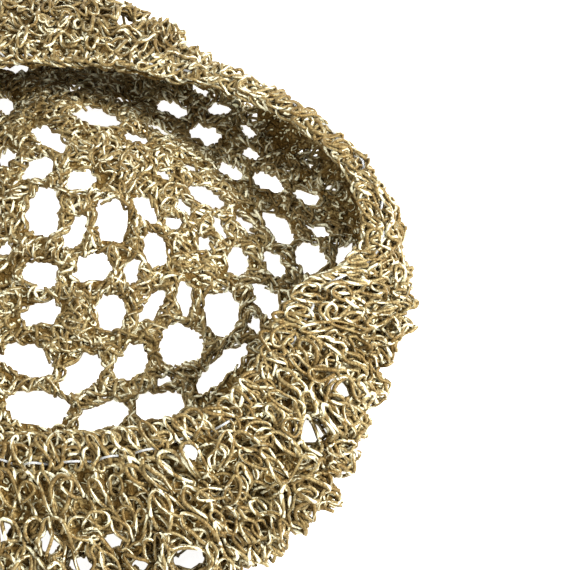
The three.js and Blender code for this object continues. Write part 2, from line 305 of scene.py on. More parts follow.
def edge_radius(angle):
    return smooth_table(EDGE, angle) + SCALLOP_DEPTH * np.cos(np.radians(SCALLOPS * angle))


def fold_and_band(angle, share):
    """Middle of the fabric: share 0 is the fold and 1 the elastic, with the turn and the lip beyond."""
    angle, share = np.broadcast_arrays(np.asarray(angle, float), np.asarray(share, float))
    edge = edge_radius(angle)
    ring = smooth_table(RING, angle)
    height = smooth_table(HEIGHT, angle)
    rise = height - EDGE_HEIGHT

    quarter = np.clip(share / TURN_SHARE + 1, -0.9, 1) * math.pi / 2
    reach = NET_END + (1 - NET_END) * np.sin(quarter)
    rim_point = around(angle, edge, 0)[..., :2]
    plan = CROWN_MIDDLE + (rim_point - CROWN_MIDDLE) * reach[..., None]
    lift = LYING_HEIGHT + (EDGE_HEIGHT - LYING_HEIGHT) * (1 - np.cos(np.maximum(quarter, 0)))
    under = np.concatenate([plan, lift[..., None]], -1)

    w = np.clip(share, 0, 1)
    start, lean, level, end = (1 - w) ** 3, 3 * (1 - w) ** 2 * w, 3 * (1 - w) * w**2, w**3
    radius = edge * (start + lean) + (edge - BAND_BOW * (edge - ring)) * level + ring * end
    climb = EDGE_HEIGHT * start + (EDGE_HEIGHT + BAND_RISES[0] * rise) * lean
    climb = climb + (EDGE_HEIGHT + BAND_RISES[1] * rise) * level + height * end
    for middle, depth, half in GATHERS:
        off = degrees_from(middle, angle) / half
        climb = climb - depth * np.exp(-(off**2)) * np.sin(math.pi * w) ** 2
    lip = np.maximum(share - 1, 0) / LIP_SHARE
    over = around(angle, radius - rim_width(angle) * lip, climb + RIM_RISE * lip)
    return np.where((share < 0)[..., None], under, over)


def crown_share(plan):
    """How far from the crown's middle to the fold points seen from above lie."""
    turn = np.arange(0, 360, 1.0)
    edge = around(turn, edge_radius(turn), 0)[:, :2] - CROWN_MIDDLE
    bearing = np.arctan2(edge[:, 1], edge[:, 0])
    order = np.argsort(bearing)
    reach = np.hypot(*edge.T)
    off = plan - CROWN_MIDDLE
    far = np.interp(np.arctan2(off[..., 1], off[..., 0]), bearing[order], reach[order], period=FULL_TURN)
    return np.hypot(off[..., 0], off[..., 1]) / far


def bell(q):
    """1 at 0, falling smoothly to 0 at 1 either way."""
    return np.cos(np.minimum(1, np.abs(q)) * math.pi / 2) ** 2


def along_and_across(plan, middle, heading):
    """Places seen from above as distances along and across a heading through a middle."""
    c, s = math.cos(heading), math.sin(heading)
    dx, dy = plan[..., 0] - middle[0], plan[..., 1] - middle[1]
    return dx * c + dy * s, dy * c - dx * s


def crown_height(plan):
    """Height of the crown's fabric, which lies flat round its long fold."""
    along, across = along_and_across(plan, RIDGE_MIDDLE, RIDGE_HEADING)
    half_width = np.where(across > 0, RIDGE_FAR, RIDGE_NEAR)
    ridge = RIDGE_HEIGHT * bell(along / RIDGE_HALF_LENGTH) * bell(across / half_width)
    t = np.clip((crown_share(plan) - RIDGE_FADES_FROM) / (NET_END - RIDGE_FADES_FROM), 0, 1)
    return LYING_HEIGHT + (1 - t * t * (3 - 2 * t)) * ridge


def crown(plan, lift):
    """Points over the crown from their places seen from above and their lift towards the hollow."""
    step = 1.0
    east, north = np.array([step, 0]), np.array([0, step])
    slope_x = (crown_height(plan + east) - crown_height(plan - east)) / (2 * step)
    slope_y = (crown_height(plan + north) - crown_height(plan - north)) / (2 * step)
    up = np.stack([-slope_x, -slope_y, np.ones_like(slope_x)], -1)
    up /= np.linalg.norm(up, axis=-1, keepdims=True)
    base = np.concatenate([plan, crown_height(plan)[..., None]], -1)
    return base + up * lift[..., None]


# Unevenness


def drift(random, at, every):
    """Smooth noise between about -1 and 1 along a line, a new value at each spacing."""
    first = math.floor(np.min(at) / every) - 1
    count = math.ceil((np.max(at) - np.min(at)) / every) + 5
    knots = random.uniform(-1, 1, count)
    place = np.asarray(at) / every - first
    k = np.clip(place.astype(int), 1, count - 3)
    t = place - k
    blend = t * t * (3 - 2 * t)
    return knots[k] * (1 - blend) + knots[k + 1] * blend


def mound_waves():
    """Random waves over the band: how many go round, radians over the band's width, and phase."""
    random = np.random.default_rng(5)
    return [
        (
            random.integers(30, 75),
            random.uniform(10, 30) * random.choice([-1, 1]),
            random.uniform(0, FULL_TURN),
        )
        for _ in range(9)
    ]


MOUNDS = mound_waves()
MOUND_HEIGHT = 0.55
# Lobes along the fold, which lie closer and wider in turn.
LOBES = 66
LOBE_HEIGHT = 1.4
LOBE_REACH = 1 / 2.2  # share of the band
# The band's usual width and length to a degree, for the hollows' sizes.
BAND_WIDTH = 45
BAND_DEGREE = 1.75


def mounds(angle, share):
    """The fabric's own rise and fall over the band, a millimetre or two either way."""
    turn = np.radians(angle)
    waves = sum(np.sin(round_ * turn + up * share + start) for round_, up, start in MOUNDS)
    lobes = np.sin(LOBES * turn + 2.5 * np.sin(7 * turn)) * bell(share / LOBE_REACH)
    height = MOUND_HEIGHT * waves + LOBE_HEIGHT * lobes
    for middle, level, depth, size in HOLLOWS:
        u = degrees_from(middle, angle) * BAND_DEGREE
        v = (share - level) * BAND_WIDTH
        height = height - depth * np.exp(-(u**2 + v**2) / size**2)
    return height


# Laying yarn


def smooth_run(points):
    """Points at even steps along a smooth line through the given ones."""
    gaps = np.maximum(np.linalg.norm(np.diff(points, axis=0), axis=1), 1e-6)
    at = np.concatenate([[0], np.cumsum(gaps)])
    slopes = np.gradient(points, at, axis=0)
    want = np.linspace(0, at[-1], max(3, round(at[-1] / STEP) + 1))
    k = np.clip(np.searchsorted(at, want, side="right") - 1, 0, len(gaps) - 1)
    gap = gaps[k][:, None]
    t = ((want - at[k]) / gaps[k])[:, None]
    return (
        points[k] * (2 * t**3 - 3 * t**2 + 1)
        + slopes[k] * gap * (t**3 - 2 * t**2 + t)
        + points[k + 1] * (3 * t**2 - 2 * t**3)
        + slopes[k + 1] * gap * (t**3 - t**2)
    )


SQUARENESS = 2.6  # 2 is an ellipse, and more is nearer to a rectangle
PUSH = 6  # more moves fewer of the strands that lie beside an opening


def border_share(u, v, half_u, half_v, start):
    """Distance from the origin over that of an uneven rounded square's border; start turns its lobes."""
    u, v = u / half_u, v / half_v
    bearing = np.arctan2(v, u)
    uneven = 1 + 0.07 * np.cos(3 * bearing + start) + 0.05 * np.cos(5 * bearing - 2 * start)
    return (np.abs(u) ** SQUARENESS + np.abs(v) ** SQUARENESS + 1e-6) ** (1 / SQUARENESS) / uneven


def push_out(u, v, half_u, half_v, start):
    """Moves places inside an opening round the origin out to its border."""
    reach = border_share(u, v, half_u, half_v, start)
    grow = (reach**PUSH + 1) ** (1 / PUSH) / reach
    return u * grow, v * grow


def in_hole(plan, hole):
    """Places seen from above as distances along and across a hole from its middle."""
    return along_and_across(plan, hole[:2], math.radians(hole[4]))


def out_of_hole(u, v, hole):
    """Places seen from above from distances along and across a hole."""
    x, y, *_, heading = hole
    c, s = math.cos(math.radians(heading)), math.sin(math.radians(heading))
    return np.stack([x + u * c - v * s, y + u * s + v * c], -1)


def clear_net_holes(plan, holes):
    """Places seen from above, pushed out of every hole of the net."""
    for hole in holes:
        x, y, long, short, _ = hole
        near = (np.abs(plan - (x, y)) < NEAR_HOLE).all(axis=1)
        half_u, half_v = HOLE_SHARE * long + HOLE_MORE, HOLE_SHARE * short + HOLE_MORE
        moved = out_of_hole(*push_out(*in_hole(plan, hole), half_u, half_v, x + y), hole)
        plan = np.where(near[:, None], moved, plan)
    return plan


def ways(angle, share):
    """What a degree round the hat, and a whole share up the band, come to at places on the band."""
    round_ = fold_and_band(angle + 0.5, share) - fold_and_band(angle - 0.5, share)
    along = fold_and_band(angle, share + SHARE_STEP / 2) - fold_and_band(angle, share - SHARE_STEP / 2)
    return round_, along / SHARE_STEP


def speeds(angle, share):
    """Millimetres to a degree round the hat, and to a whole share, at places on the band."""
    return [np.linalg.norm(way, axis=-1) for way in ways(angle, share)]


EYELET_SPEEDS = [speeds(np.array([angle]), np.array([share])) for angle, share, _, _ in EYELETS]


def in_eyelet(angle, share, eyelet, speed):
    """Places on the band as distances across and up from an eyelet's middle."""
    return degrees_from(eyelet[0], angle) * speed[0], (share - eyelet[1]) * speed[1]


def clear_eyelets(angle, share):
    """Places on the band, pushed out of every eyelet."""
    for eyelet, (round_, along) in zip(EYELETS, EYELET_SPEEDS):
        middle, _, wide, high = eyelet
        u, v = in_eyelet(angle, share, eyelet, (round_, along))
        near = (np.abs(u) < NEAR_EYELET) & (np.abs(v) < NEAR_EYELET)
        moved_u, moved_v = push_out(u, v, wide + YARN, high + YARN, middle)
        angle = np.where(near, angle + (moved_u - u) / round_, angle)
        share = np.where(near, share + (moved_v - v) / along, share)
    return angle, share


def on_band(angle, share, across, up, out):
    """Points from anchors on the band and offsets in millimetres round, up and out of it."""
    round_, along = speeds(angle, share)
    angle, share = clear_eyelets(angle + across / round_, share + up / along)
    outwards = np.cross(*ways(angle, share))
    outwards /= np.linalg.norm(outwards, axis=-1, keepdims=True)
    out = out + mounds(angle, share) * np.clip(1.4 - np.abs(share), 0, 1)
    return fold_and_band(angle, share) + outwards * out[:, None]


def cut_at_openings(strands):
    """The strands with every straight bit left out that would cross an opening."""
    bits = []
    for points in strands:
        wide = np.nonzero(np.linalg.norm(np.diff(points, axis=0), axis=1) > LONGEST_BIT)[0] + 1
        bits += [bit for bit in np.split(points, wide) if len(bit) > 2]
    return bits


def off_the_floor(points):
    """The points, none so low that its yarn would reach into the surface that the hat lies on."""
    points[:, 2] = np.maximum(points[:, 2], YARN)
    return points


def clear_turn(points, holes):
    """Opens the holes in yarn that lies under the fold."""
    low = points[:, 2] < EDGE_HEIGHT
    plan = clear_net_holes(points[:, :2], holes)
    points[:, :2] = np.where(low[:, None], plan, points[:, :2])
    return points


# The net


def hole_reach(hole, towards):
    """From a net hole's middle to its border, in the direction of another place."""
    x, y, long, short, heading = hole
    turn = math.atan2(towards[1] - y, towards[0] - x) - math.radians(heading)
    return long * short / math.hypot(short * math.cos(turn), long * math.sin(turn))


def all_net_holes():
    """The holes that the photograph shows, and even ones where it shows none of the net."""
    random = np.random.default_rng(3)
    holes = list(NET_HOLES)
    for round_, share in enumerate(EVEN_ROUNDS):
        count = max(LEAST_ROUND, round(share * HOLES_PER_SHARE))
        for k in range(count):
            turn = (k + 0.5 * (round_ % 2)) * 360 / count + random.uniform(-2, 2)
            edge = around(np.array([turn]), edge_radius(np.array([turn])), 0)[0, :2]
            place = CROWN_MIDDLE + (edge - CROWN_MIDDLE) * (share + random.uniform(-0.01, 0.01))
            gap = min(math.hypot(*(place - hole[:2])) - hole_reach(hole, place) for hole in holes)
            if gap > FREE_OF_OTHERS and (place < SHOWN_FROM).any():
                heading = math.degrees(math.atan2(*(place - CROWN_MIDDLE)[::-1])) + 90
                size = random.uniform(4.2, 6.2)
                holes.append((place[0], place[1], size, size * random.uniform(0.6, 0.9), heading))
    return holes


# Half widths of the net: at a joint, least and most, and at the middle of a cord, least and most.
JOINT_HALVES = (1.6, 3.4)
CORD_HALVES = (1.3, 4.5)
LEAST_FREE = 1.5  # least gap between two holes' borders


def net_cords(holes):
    """The net's cords, as (start, middle, end, half widths there), and its joints, between the holes."""
    border = np.arange(0, 360, 6.0)
    fold = CROWN_MIDDLE + (around(border, edge_radius(border), 0)[:, :2] - CROWN_MIDDLE) * 0.985
    openings = list(holes) + [(*place, 4, 4, 0) for place in fold]
    sites = [Vector(opening[:2]) for opening in openings]
    _, _, faces, *_ = delaunay_2d_cdt(sites, [], [], 0, 1e-5)

    def between(i, j):
        """Middle of the fabric between two openings, and half its width."""
        a, b = openings[i], openings[j]
        gap = math.dist(a[:2], b[:2])
        near, far = hole_reach(a, b), hole_reach(b, a)
        free = max(gap - near - far, LEAST_FREE)
        at = (near + free / 2) / gap
        return np.array(a[:2]) + (np.array(b[:2]) - np.array(a[:2])) * at, free / 2

    joints = []
    for face in faces:
        middles = [between(face[k], face[(k + 1) % 3]) for k in range(3)]
        joints.append((
            np.mean([place for place, _ in middles], axis=0),
            np.clip(np.mean([half for _, half in middles]), *JOINT_HALVES),
        ))
    sides = {}
    for number, face in enumerate(faces):
        for k in range(3):
            pair = tuple(sorted((face[k], face[(k + 1) % 3])))
            sides.setdefault(pair, []).append(number)
    cords = []
    for (i, j), touching in sides.items():
        if len(touching) < 2 or (i >= len(holes) and j >= len(holes)):
            continue
        place, half = between(i, j)
        (start, start_half), (end, end_half) = [joints[number] for number in touching]
        cords.append((start, place, end, start_half, np.clip(half, *CORD_HALVES), end_half))
    return cords, joints


def cord_line(cord, extra):
    """Places, sideways directions and half widths at even steps along one cord of the net."""
    start, middle, end, *halves = cord
    points = np.array([start, middle, end])
    lengths = np.concatenate([[0], np.cumsum(np.linalg.norm(np.diff(points, axis=0), axis=1))])
    t = np.linspace(0, 1, 25)
    # A line through the middle, bent as a parabola.
    bend = np.stack([(1 - t) * (1 - 2 * t), 4 * t * (1 - t), t * (2 * t - 1)], -1)
    line = bend @ points
    heading = np.gradient(line, axis=0)
    heading /= np.linalg.norm(heading, axis=1, keepdims=True)
    line = np.concatenate([line[:1] - heading[:1] * extra, line, line[-1:] + heading[-1:] * extra])
    heading = np.concatenate([heading[:1], heading, heading[-1:]])
    at = np.concatenate([[0], np.cumsum(np.linalg.norm(np.diff(line, axis=0), axis=1))])
    width = np.interp(at, [0, at[-1] / 2, at[-1]], halves)
    side = np.stack([-heading[:, 1], heading[:, 0]], -1)
    return at, line, side, width, lengths[-1]


def along_cord(cord, extra, count, side_of, lift_of):
    """Plan and lift of a strand that follows a cord, its sideways and upwards places given along it."""
    at, line, side, width, _ = cord_line(cord, extra)
    want = np.linspace(0, at[-1], count)
    place = np.stack([np.interp(want, at, line[:, k]) for k in (0, 1)], -1)
    across = np.stack([np.interp(want, at, side[:, k]) for k in (0, 1)], -1)
    half = np.interp(want, at, width)
    return place + across * side_of(want, half)[:, None], lift_of(want, half)


def over_crown(strands, holes):
    """Points of the strands whose plans and lifts are given, pushed out of the holes."""
    ends = np.cumsum([len(lift) for _, lift in strands])[:-1]
    plan = clear_net_holes(np.concatenate([plan for plan, _ in strands]), holes)
    points = off_the_floor(crown(plan, np.concatenate([lift for _, lift in strands])))
    return np.split(points, ends)


def hole_ropes(random, holes):
    """Two strands twisted round each other along the border of each hole."""
    ropes = []
    for hole in holes:
        _, _, long, short, _ = hole
        length = FULL_TURN * ((long + short) / 2 + 1.4)
        turns = length / random.uniform(4.6, 6.4)
        hand = random.choice([-1, 1])
        for side in (0, math.pi):
            t = np.linspace(0, 1.05, max(12, round(length * 1.3 / 1.25)))
            bearing = FULL_TURN * t + random.uniform(0, FULL_TURN)
            twist = FULL_TURN * turns * hand * t + side
            out = 1.35 + 0.85 * np.cos(twist) + 0.5 * drift(random, t * length, 4)
            u = (long + out) * np.sign(np.cos(bearing)) * np.abs(np.cos(bearing)) ** 0.85
            v = (short + out) * np.sign(np.sin(bearing)) * np.abs(np.sin(bearing)) ** 0.85
            lift = 0.4 + 1.2 * np.sin(twist) + 0.5 * drift(random, t * length, 5)
            ropes.append((out_of_hole(u, v, hole), lift))
    return ropes


PLAIN_STEP = 3.4
HOLE_BORDER = 4.2  # width of the ropes and cords round a hole


def plain_places(holes):
    """Places on the net, at even steps, that are clear of every hole's border."""
    steps = np.arange(-120, 121, PLAIN_STEP)
    grid = np.stack(np.meshgrid(steps, steps), -1).reshape(-1, 2)
    free = crown_share(grid) < NET_END
    for hole in holes:
        u, v = in_hole(grid, hole)
        free &= np.hypot(u / (hole[2] + HOLE_BORDER), v / (hole[3] + HOLE_BORDER)) > 1
    return grid[free]


SHORTEST_CORD = 1.5
STRAND_FROM = (1.7, 2.7, 3.7)  # half widths from which a cord has one strand more


def cord_strands(random, cords):
    """Strands that lie along the cords of the net, and one more wrapped round each."""
    strands = []
    for cord in cords:
        length = cord_line(cord, 0)[4]
        if length < SHORTEST_CORD:
            continue
        widest = max(cord[3:])
        for _ in range(sum(widest > width for width in STRAND_FROM)):
            start = random.uniform(0, FULL_TURN)
            turns = FULL_TURN * random.choice([-1, 1]) / random.uniform(8, 13)
            fill = random.uniform(0.3, 0.8)

            def side_of(at, half):
                return np.maximum(half - YARN, 0.4) * fill * np.cos(turns * at + start)

            def lift_of(at, half):
                rise = np.sin(turns * at + start)
                return 0.8 + rise + 0.9 * rise**2

            extra = random.uniform(0.8, 2.4)
            count = max(5, round((length + 2 * extra) / 1.2))
            strands.append(along_cord(cord, extra, count, side_of, lift_of))
        start = random.uniform(0, FULL_TURN)
        pitch = random.uniform(5, 8)
        turns = FULL_TURN * random.choice([-1, 1]) / pitch
        loose = random.uniform(0.8, 1.1)

        def side_of(at, half):
            return half * loose * np.cos(turns * at + start)

        def lift_of(at, half):
            return 1.8 * np.sin(turns * at + start) + 0.2

        way = math.hypot(FULL_TURN * 0.5 * (widest + 1.6), pitch) * length / pitch
        strands.append(along_cord(cord, 0.6, max(6, round(way / 1.3)), side_of, lift_of))
    return strands


PLAIN_REACH = 2.2


def tufts(random, joints, holes, on_joint, on_plain, side, rise):
    """Short arcs over the joints of the cords and over every plain place, on one side of the net."""
    arcs = []
    places = [(place, half, on_joint) for place, half in joints]
    places += [(place, PLAIN_REACH, on_plain) for place in plain_places(holes)]
    for place, half, count in places:
        if crown_share(place) > NET_END + 0.03:
            continue
        for _ in range(count):
            turn = np.linspace(-0.6, 0.6, 6) * random.uniform(0.8, 2.2)
            reach = half * random.uniform(1.0, 1.8)
            heading = random.uniform(0, FULL_TURN)
            c, s = math.cos(heading), math.sin(heading)
            bow = np.stack([np.sin(turn), np.cos(turn) - 0.8], -1) * reach
            plan = place + bow @ np.array([[c, s], [-s, c]]) + random.uniform(-0.8, 0.8, 2)
            arcs.append((plan, side * (rise - 0.4 * turn**2 * reach + random.uniform(-0.4, 0.4))))
    return arcs


def net_yarn(holes):
    """Strands of the net: round the holes, along the cords, and over the joints on either side."""
    random = np.random.default_rng(11)
    cords, joints = net_cords(holes)
    parts = (
        hole_ropes(random, holes),
        cord_strands(random, cords),
        tufts(random, joints, holes, on_joint=3, on_plain=2, side=1, rise=2.1),
        tufts(random, joints, holes, on_joint=1, on_plain=2, side=-1, rise=0.6),
    )
    return [over_crown(strands, holes) for strands in parts]


# The dense band


def looped_row(random, share, pitch=5.4, height=3.2, swing=2.0, out=0.3, depth=0.9):
    """A round of yarn that loops over itself as it goes, at one share of the way up.

    A loop takes up one pitch of the round, and is that high, swings that far sideways, lies that
    far out of the fabric's middle and goes that deep in and out of it.
    """
    turn = np.arange(0, 361, 1.0)
    wander = drift(random, turn, 14)
    wander = wander * np.clip((turn - 2) / 10, 0, 1) * np.clip((358 - turn) / 10, 0, 1)
    level = share + 0.035 * wander
    line = fold_and_band(turn, level)
    length = np.concatenate([[0], np.cumsum(np.linalg.norm(np.diff(line, axis=0), axis=1))])
    loops = length[-1] / pitch
    t = np.linspace(0, loops, round(loops * 14))
    angle = np.interp(t * pitch, length, turn)
    level = np.interp(angle, turn, level)
    beat = FULL_TURN * t + 1.4 * drift(random, t, 3.1)
    tall = height * (1 + 0.45 * drift(random, t, 1.7))
    wide = swing * (1 + 0.5 * drift(random, t, 2.3))
    tilt = 1.3 * drift(random, t, 2.9)
    u = wide * np.sin(beat)
    v = tall * np.cos(beat)
    across = u * np.cos(tilt) - v * np.sin(tilt) + pitch * 0.6 * drift(random, t, 2.1)
    up = u * np.sin(tilt) + v * np.cos(tilt) + 0.25 * height * drift(random, t, 1.9)
    lift = out + depth * np.sin(beat + 0.9 * drift(random, t, 4.0)) + 0.5 * drift(random, t, 1.3)
    return off_the_floor(on_band(angle, level, across, up, lift))


# One upright stitch: across in half widths, up in heights, and out of the band.
STITCH = np.array([
    (-0.5, -0.62, -1.2),
    (-0.9, -0.35, 0.5),
    (-1.0, 0.1, 0.9),
    (-0.75, 0.5, 0.7),
    (0.0, 0.68, 0.6),
    (0.8, 0.48, 0.9),
    (0.95, 0.05, 0.3),
    (0.5, -0.4, 0.8),
    (0.1, -0.68, -1.2),
])


def hairpins(random, share, spacing, height, out):
    """A row of upright stitches: each goes up, turns over and comes down beside itself.

    They stand at about that spacing, at most that high and that far out of the fabric's middle.
    """
    turn = np.arange(0, 361, 1.0)
    line = fold_and_band(turn, np.full(turn.shape, share))
    length = np.concatenate([[0], np.cumsum(np.linalg.norm(np.diff(line, axis=0), axis=1))])
    steps = spacing * random.uniform(0.6, 1.4, math.ceil(length[-1] / spacing * 1.4))
    place = np.cumsum(steps)
    place = place[place < length[-1] - spacing / 2]
    angle = np.interp(place, length, turn)
    level = np.full(angle.shape, share)
    _, along = speeds(angle, level)
    count = (len(place), 1)
    tall = np.clip(along * 0.24, 5, height)[:, None] * random.uniform(0.55, 1.25, count)
    wide = random.uniform(1.2, 3.0, count)
    tilt = random.normal(0, 0.6, count)
    rough = random.normal(0, 0.27, (len(place), *STITCH.shape))
    u = STITCH[:, 0] * wide + rough[..., 0]
    v = STITCH[:, 1] * tall + rough[..., 1]
    across = u * np.cos(tilt) - v * np.sin(tilt)
    up = u * np.sin(tilt) + v * np.cos(tilt) + random.normal(0, 0.8, count)
    lift = STITCH[:, 2] + out + rough[..., 2] + random.uniform(-0.3, 0.5, count)
    anchors = np.repeat(angle, len(STITCH)), np.repeat(level, len(STITCH))
    points = on_band(*anchors, across.ravel(), up.ravel(), lift.ravel()).reshape(len(place), -1, 3)
    return [off_the_floor(smooth_run(stitch)) for stitch in points]


def band_yarn(holes):
    """Strands of the fold, the eyelet rows, the band and the lip, by piece."""
    random = np.random.default_rng(23)
    under = [
        clear_turn(looped_row(random, share, height=2.8, swing=1.9), holes)
        for share in (-0.36, -0.27, -0.18, -0.09)
    ]
    fold = [looped_row(random, share) for share in (-0.02, 0.07, 0.16, 0.25, 0.34)]
    eyelets = [looped_row(random, share) for share in (0.43, 0.52, 0.61, 0.69)]
    top = [looped_row(random, share, height=3.0) for share in (0.75, 0.83, 0.91, 0.98)]
    for share in (-0.10, 0.02, 0.18):
        fold += hairpins(random, share, spacing=5.6, height=9.5, out=1.5)
    for share in (0.36, 0.54):
        eyelets += hairpins(random, share, spacing=5.4, height=8.5, out=1.5)
    for share in (0.72, 0.88):
        top += hairpins(random, share, spacing=5.2, height=8.5, out=1.4)
    lip = [looped_row(random, share, pitch=3.8, height=1.7, out=0.4, depth=0.8) for share in (1.05, 1.11)]
    lip += hairpins(random, 1.06, spacing=3.6, height=6.5, out=0.9)
    return under, fold, eyelets, top, lip


DIVES = 46  # of the clear thread, in one round


def elastic_line():
    """The clear thread, which dives in and out of the band as it goes round."""
    random = np.random.default_rng(2)
    turn = np.linspace(0, 360, 900)
    weave = 1.8 * np.sin(np.radians(turn * DIVES)) + 1.6 * drift(random, turn, 7)
    share = 1 + 0.02 * drift(random, turn, 7)
    zero = np.zeros(turn.shape)
    return on_band(turn, share, zero, zero, weave)


# Finishes


class Amount:
    """A number in a material; sums and products of amounts add their Math nodes."""

    def __init__(self, finish, socket):
        self.finish = finish
        self.socket = socket

    def _maths(self, operation, *values):
        return self.finish.node("ShaderNodeMath", {"operation": operation}, dict(enumerate(values)))

    def __add__(self, other):
        return self._maths("ADD", self, other)

    def __mul__(self, other):
        return self._maths("MULTIPLY", self, other)

    def __rsub__(self, other):
        return self._maths("SUBTRACT", other, self)

    __radd__ = __add__
    __rmul__ = __mul__

    def cosine(self):
        return self._maths("COSINE", self)

    def sine(self):
        return self._maths("SINE", self)

    def between(self, low, high):
        """0 below one value, 1 above the other, smooth in between."""
        values = {"Value": self, "From Min": low, "From Max": high}
        return self.finish.node("ShaderNodeMapRange", {"interpolation_type": "SMOOTHSTEP"}, values)


class Finish:
    """A material and the one way that nodes are added to it."""

    def __init__(self, name):
        self.material = bpy.data.materials.new(name)
        self.material.use_nodes = True
        self.tree = self.material.node_tree
        self.surface = self.tree.nodes["Principled BSDF"]

    def node(self, kind, settings=None, inputs=None, output=0):
        node = self.tree.nodes.new(kind)
        for name, value in (settings or {}).items():
            setattr(node, name, value)
        for name, value in (inputs or {}).items():
            self.set(node.inputs[name], value)
        return Amount(self, node.outputs[output])

    def set(self, socket, value):
        if isinstance(value, Amount):
            self.tree.links.new(value.socket, socket)
        else:
            socket.default_value = value

    def dress(self, **inputs):
        for name, value in inputs.items():
            self.set(self.surface.inputs[name.replace("_", " ")], value)

    def noise(self, place, scale, detail=2.0):
        inputs = {"Vector": place, "Scale": scale, "Detail": detail}
        return self.node("ShaderNodeTexNoise", {}, inputs)

    def mix(self, factor, first, second):
        inputs = {"Factor": factor, 6: first, 7: second}
        return self.node("ShaderNodeMix", {"data_type": "RGBA"}, inputs, output=2)


def colour(red, green, blue):
    """A colour from its 0 to 255 screen values."""
    return (*[((v / 255 + 0.055) / 1.055) ** 2.4 for v in (red, green, blue)], 1)


def gold_yarn():
    """A matte brown core with a metallic ribbon wound round it, and a fine twist; the ribbon's stripe is
    painted near white with little metal, partly its own colour and partly a painted highlight.
    """
    finish = Finish("gold_yarn")
    run = finish.node("ShaderNodeAttribute", {"attribute_name": "run"}, output="Fac")
    tone = finish.node("ShaderNodeAttribute", {"attribute_name": "tone"}, output="Fac")
    section = finish.node("ShaderNodeAttribute", {"attribute_name": "section"}, output="Vector")
    x, y = [finish.node("ShaderNodeSeparateXYZ", {}, {0: section}, output=axis) for axis in "XY"]
    place = finish.node("ShaderNodeTexCoord", output="Object")
    blotch = finish.noise(place, 90.0, detail=3.0)
    fine = finish.noise(place, 700.0)
    phase = run * (FULL_TURN / 0.026) + run * tone * (FULL_TURN / 0.011) + blotch * 6.0
    stripe = x * phase.cosine() + y * phase.sine() + tone * 0.7
    # Where the metallic ribbon shows: its near white colour is partly the ribbon's own and partly a painted
    # highlight of the lamps' glint.
    foil_and_painted_glint = stripe.between(0.74, 1.14) * fine.between(0.33, 0.46)
    ply = run * (FULL_TURN / 0.0011)
    twist = x * ply.cosine() + y * ply.sine()
    body = finish.mix(blotch.between(0.35, 0.65), colour(104, 82, 42), colour(140, 122, 80))
    body = finish.mix(tone * 0.6, body, colour(162, 148, 108))
    # Darker in fine specks: partly the yarn's own fuzz and partly painted shade in the grooves between its
    # plies.
    body = finish.mix(fine.between(0.35, 0.6), colour(107, 85, 47), body)
    finish.dress(
        Base_Color=finish.mix(foil_and_painted_glint, body, colour(230, 225, 192)),
        Metallic=0.4 - foil_and_painted_glint * 0.3,
        Roughness=0.42 - foil_and_painted_glint * 0.2 + fine * 0.1,
        Specular_IOR_Level=0.35,
        Specular_Tint=colour(255, 242, 206),
        Normal=finish.node(
            "ShaderNodeBump", {}, {"Strength": 0.35, "Distance": 0.0002, "Height": twist + fine}
        ),
    )
    return finish.material


def shade_painted_yarn():
    """The yarn between the strands that are laid, darker than theirs as painted shade: ridges of tangled
    strands with painted shade between them, and bits of metallic ribbon on them painted near white as a
    painted highlight.
    """
    finish = Finish("shade_painted_yarn")
    place = finish.node("ShaderNodeTexCoord", output="Object")
    tangle = finish.noise(place, 250.0)
    blotch = finish.noise(place, 330.0)
    depth = finish.noise(place, 65.0)
    ridge = (tangle * (FULL_TURN * 5)).cosine()
    # Bits of metallic ribbon on the ridges, their near white colour partly the ribbon's own and partly a
    # painted highlight.
    foil_and_painted_glint = ridge.between(0.6, 0.9) * blotch.between(0.50, 0.56)
    # Painted shade: darker in patches some 15 mm across, for the shade in the deep gaps of the fabric.
    high = finish.mix(depth.between(0.36, 0.6), colour(114, 90, 46), colour(138, 117, 73))
    # Painted shade: darkest between the ridges, where the gaps between strands lie in shade.
    body = finish.mix(ridge.between(-1.0, 0.8), colour(98, 74, 34), high)
    finish.dress(
        Base_Color=finish.mix(foil_and_painted_glint, body, colour(240, 236, 196)),
        Metallic=0.3 - foil_and_painted_glint * 0.2,
        Roughness=0.5 - foil_and_painted_glint * 0.25,
        Specular_IOR_Level=0.2,
        Specular_Tint=colour(255, 232, 186),
        Normal=finish.node("ShaderNodeBump", {}, {"Strength": 0.9, "Distance": 0.0006, "Height": ridge}),
    )
    return finish.material


def clear_elastic():
    finish = Finish("clear_elastic")
    place = finish.node("ShaderNodeTexCoord", output="Object")
    # The thread is pale blue-grey, painted near white in patches some 4 mm across as painted glints; it is
    # rougher there.
    painted_glint_patches = finish.noise(place, 260.0)
    finish.dress(
        Base_Color=finish.mix(painted_glint_patches, colour(196, 202, 206), colour(240, 240, 236)),
        Roughness=0.12 + painted_glint_patches * 0.15,
        Coat_Weight=0.6,
        Transmission_Weight=0.55,
    )
    return finish.material


# Making pieces


